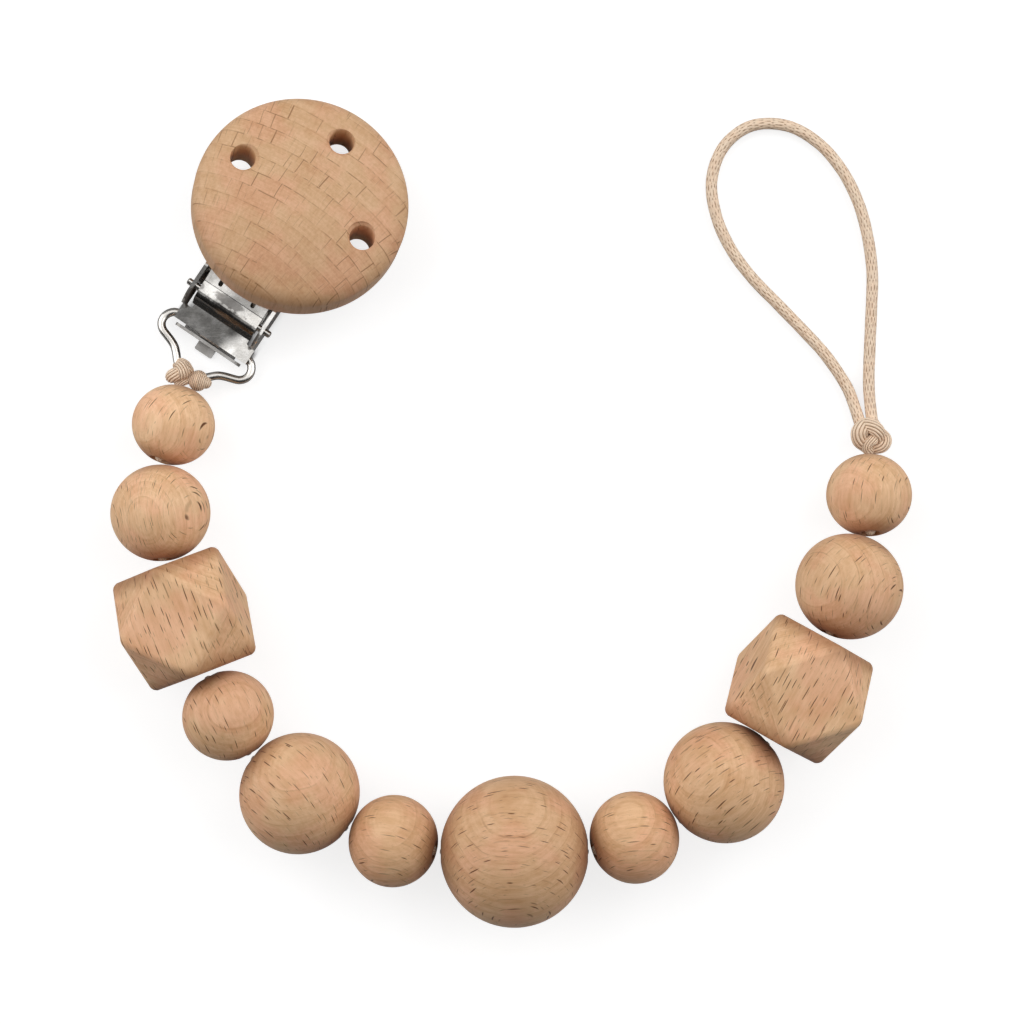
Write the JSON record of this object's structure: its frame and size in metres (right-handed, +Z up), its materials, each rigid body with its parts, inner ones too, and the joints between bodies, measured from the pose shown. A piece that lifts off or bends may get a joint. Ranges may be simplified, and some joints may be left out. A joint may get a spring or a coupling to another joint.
{
  "type": "pacifier chain",
  "caption": "Pacifier chain: sprung metal clip under a vented wooden disc, a wire bail, turned and faceted wooden beads on a cord, and a cord loop.",
  "frame": {"origin": "on the table under the middle of the clip base's front plate", "axes": "+Z up from the table, +X and +Y in the table's plane; the chain lies along -Y and +X of the clip and the loop at +X"},
  "size_m": [0.1034, 0.1067, 0.0191],
  "materials": {
    "beech": "bare sanded beech",
    "waxed_cord": "satin braided cord",
    "nickel_plate": "polished nickel plate",
    "spring_steel": "plated spring steel",
    "clear_plastic": "moulded plastic"
  },
  "bodies": {
    "clip_base_assembly": {"clip_base": "nickel_plate", "spring_plate": "spring_steel", "jaw_insert": "clear_plastic", "hinge_pin": "nickel_plate"},
    "clip_lever_assembly": {"clip_lever": "nickel_plate", "wood_disc": "beech"},
    "bail": {"bail_wire": "nickel_plate", "clip_knot": "waxed_cord"},
    "cord_run_01": {"cord_run_01": "waxed_cord"},
    "cord_run_02": {"cord_run_02": "waxed_cord"},
    "cord_run_03": {"cord_run_03": "waxed_cord"},
    "cord_run_04": {"cord_run_04": "waxed_cord"},
    "cord_run_05": {"cord_run_05": "waxed_cord"},
    "cord_run_06": {"cord_run_06": "waxed_cord"},
    "cord_run_07": {"cord_run_07": "waxed_cord"},
    "cord_run_08": {"cord_run_08": "waxed_cord"},
    "cord_run_09": {"cord_run_09": "waxed_cord"},
    "cord_run_10": {"cord_run_10": "waxed_cord"},
    "cord_run_11": {"cord_run_11": "waxed_cord"},
    "cord_run_12": {"cord_run_12": "waxed_cord"},
    "loop_end": {"loop_knot": "waxed_cord", "cord_loop": "waxed_cord"},
    "bead_01": {"bead_01": "beech"},
    "bead_02": {"bead_02": "beech"},
    "bead_03": {"bead_03": "beech"},
    "bead_04": {"bead_04": "beech"},
    "bead_05": {"bead_05": "beech"},
    "bead_06": {"bead_06": "beech"},
    "bead_07": {"bead_07": "beech"},
    "bead_08": {"bead_08": "beech"},
    "bead_09": {"bead_09": "beech"},
    "bead_10": {"bead_10": "beech"},
    "bead_11": {"bead_11": "beech"},
    "bead_12": {"bead_12": "beech"}
  },
  "joints": [
    {"name": "lever_hinge", "type": "hinge", "parent": "clip_base_assembly", "child": "clip_lever_assembly", "pos_m": [-0.0082, -0.0122, 0.0052], "axis": [0.83, -0.5577, 0], "range_deg": [0, 90]},
    {"name": "bail_hinge", "type": "hinge", "parent": "clip_base_assembly", "child": "bail", "pos_m": [-0.01054, -0.01569, 0.00105], "axis": [0.83, -0.5577, 0], "range_deg": [-70, 80]},
    {"name": "flex_00", "type": "hinge", "parent": "bail", "child": "cord_run_01", "pos_m": [-0.0135, -0.02238, 0.0042], "axis": [0, 0, 1], "range_deg": [-18, 18]},
    {"name": "flex_01", "type": "hinge", "parent": "cord_run_01", "child": "cord_run_02", "pos_m": [-0.01733, -0.03236, 0.0063], "axis": [0, 0, -1], "range_deg": [-1.5, 50.5]},
    {"name": "flex_02", "type": "hinge", "parent": "cord_run_02", "child": "cord_run_03", "pos_m": [-0.01654, -0.04527, 0.00808], "axis": [0, 0, 1], "range_deg": [-37, 2]},
    {"name": "flex_03", "type": "hinge", "parent": "cord_run_03", "child": "cord_run_04", "pos_m": [-0.01102, -0.05965, 0.00808], "axis": [0, 0, -1], "range_deg": [-12, 27]},
    {"name": "flex_04", "type": "hinge", "parent": "cord_run_04", "child": "cord_run_05", "pos_m": [-0.00527, -0.07023, 0.00775], "axis": [0, 0, 1], "range_deg": [-50.5, 1.5]},
    {"name": "flex_05", "type": "hinge", "parent": "cord_run_05", "child": "cord_run_06", "pos_m": [0.00743, -0.0798, 0.00775], "axis": [0, 0, -1], "range_deg": [-1.5, 50.5]},
    {"name": "flex_06", "type": "hinge", "parent": "cord_run_06", "child": "cord_run_07", "pos_m": [0.019, -0.08237, 0.0096], "axis": [0, 0, 1], "range_deg": [-38.5, 13.5]},
    {"name": "flex_07", "type": "hinge", "parent": "cord_run_07", "child": "cord_run_08", "pos_m": [0.0386, -0.08237, 0.0096], "axis": [0, 0, -1], "range_deg": [-9, 43]},
    {"name": "flex_08", "type": "hinge", "parent": "cord_run_08", "child": "cord_run_09", "pos_m": [0.04994, -0.0789, 0.00775], "axis": [0, 0, 1], "range_deg": [-51, 1]},
    {"name": "flex_09", "type": "hinge", "parent": "cord_run_09", "child": "cord_run_10", "pos_m": [0.06178, -0.06824, 0.00845], "axis": [0, 0, -1], "range_deg": [-0.5, 38.5]},
    {"name": "flex_10", "type": "hinge", "parent": "cord_run_10", "child": "cord_run_11", "pos_m": [0.06925, -0.05477, 0.00845], "axis": [0, 0, 1], "range_deg": [-25, 14]},
    {"name": "flex_11", "type": "hinge", "parent": "cord_run_11", "child": "cord_run_12", "pos_m": [0.07485, -0.04188, 0.00685], "axis": [0, 0, -1], "range_deg": [-2, 50]},
    {"name": "flex_12", "type": "hinge", "parent": "cord_run_12", "child": "loop_end", "pos_m": [0.07476, -0.03106, 0.00395], "axis": [0, 0, 1], "range_deg": [-21.5, 22.5]},
    {"name": "bead_spin_01", "type": "hinge", "parent": "cord_run_01", "child": "bead_01", "pos_m": [-0.01541, -0.02737, 0.00525], "axis": [-0.3517, -0.9161, 0.1927], "continuous": true},
    {"name": "bead_spin_02", "type": "hinge", "parent": "cord_run_02", "child": "bead_02", "pos_m": [-0.01694, -0.03879, 0.00719], "axis": [0.0605, -0.9888, 0.1363], "continuous": true},
    {"name": "bead_spin_03", "type": "hinge", "parent": "cord_run_03", "child": "bead_03", "pos_m": [-0.01378, -0.05246, 0.00808], "axis": [0.3584, -0.9336, 0], "continuous": true},
    {"name": "bead_spin_04", "type": "hinge", "parent": "cord_run_04", "child": "bead_04", "pos_m": [-0.00813, -0.06496, 0.00791], "axis": [0.477, -0.8785, -0.0272], "continuous": true},
    {"name": "bead_spin_05", "type": "hinge", "parent": "cord_run_05", "child": "bead_05", "pos_m": [0.00108, -0.07502, 0.00775], "axis": [0.7986, -0.6018, 0], "continuous": true},
    {"name": "bead_spin_06", "type": "hinge", "parent": "cord_run_06", "child": "bead_06", "pos_m": [0.01321, -0.08108, 0.00868], "axis": [0.9646, -0.2139, 0.1542], "continuous": true},
    {"name": "bead_spin_07", "type": "hinge", "parent": "cord_run_07", "child": "bead_07", "pos_m": [0.0288, -0.08237, 0.0096], "axis": [1, 0, 0], "continuous": true},
    {"name": "bead_spin_08", "type": "hinge", "parent": "cord_run_08", "child": "bead_08", "pos_m": [0.04427, -0.08063, 0.00868], "axis": [0.9449, 0.2889, -0.1542], "continuous": true},
    {"name": "bead_spin_09", "type": "hinge", "parent": "cord_run_09", "child": "bead_09", "pos_m": [0.05584, -0.07359, 0.0081], "axis": [0.7424, 0.6685, 0.0441], "continuous": true},
    {"name": "bead_spin_10", "type": "hinge", "parent": "cord_run_10", "child": "bead_10", "pos_m": [0.06551, -0.0615, 0.00845], "axis": [0.4848, 0.8746, 0], "continuous": true},
    {"name": "bead_spin_11", "type": "hinge", "parent": "cord_run_11", "child": "bead_11", "pos_m": [0.07206, -0.0483, 0.00765], "axis": [0.3962, 0.9111, -0.1133], "continuous": true},
    {"name": "bead_spin_12", "type": "hinge", "parent": "cord_run_12", "child": "bead_12", "pos_m": [0.07481, -0.03647, 0.0054], "axis": [-0.0084, 0.9659, -0.2589], "continuous": true}
  ]
}
